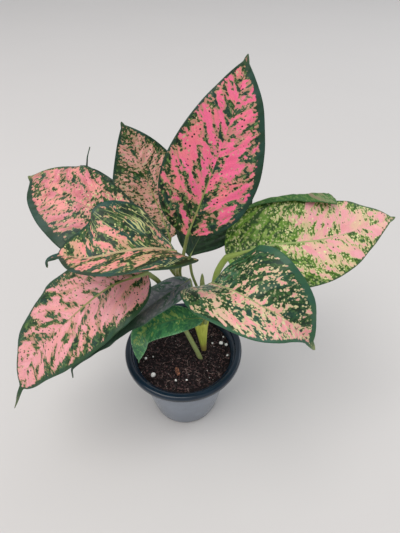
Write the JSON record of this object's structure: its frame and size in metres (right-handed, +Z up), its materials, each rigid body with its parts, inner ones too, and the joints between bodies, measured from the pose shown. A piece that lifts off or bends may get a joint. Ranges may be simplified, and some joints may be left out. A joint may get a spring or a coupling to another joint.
{
  "type": "potted chinese evergreen",
  "caption": "Potted chinese evergreen with broad pink and green variegated leaves on slim stalks, rising from dark soil in a round nursery pot.",
  "frame": {"origin": "centre of the pot's flat underside, on the surface that it stands on", "axes": "+Z up along the pot's axis; -Y towards the pot's front, the side the plant leans out to and is looked at from; +X to its right"},
  "size_m": [0.3559, 0.1948, 0.3515],
  "materials": {
    "pot_plastic": "dark blue-grey moulded plastic, slightly glossy",
    "soil": "moist dark potting mix with peat and coir fibres",
    "stem": "satin yellow-olive sheaths",
    "pink_leaf": "satin leaf, pink with dark green flecks and margin",
    "mixed_leaf": "satin leaf, green with cream and pink flecks",
    "green_leaf": "satin leaf, dark green",
    "perlite": "matt off-white expanded grain",
    "bark": "rough brown bark"
  },
  "bodies": {
    "root": {"nursery_pot": "pot_plastic", "potting_soil": "soil", "stem": "stem", "new_leaf": "stem", "leaf_tall": "pink_leaf", "leaf_back_left": "pink_leaf", "leaf_left": "pink_leaf", "leaf_near_left": "mixed_leaf", "leaf_low_left": "pink_leaf", "leaf_right": "mixed_leaf", "leaf_near_right": "mixed_leaf", "leaf_low_dark": "green_leaf", "leaf_small_front": "green_leaf", "leaf_back_right": "green_leaf", "leaf_hidden_left": "green_leaf", "perlite_1": "perlite", "perlite_2": "perlite", "perlite_3": "perlite", "perlite_4": "perlite", "perlite_5": "perlite", "perlite_6": "perlite", "perlite_7": "perlite", "perlite_8": "perlite", "perlite_9": "perlite", "perlite_10": "perlite", "bark_chip": "bark"}
  },
  "joints": []
}
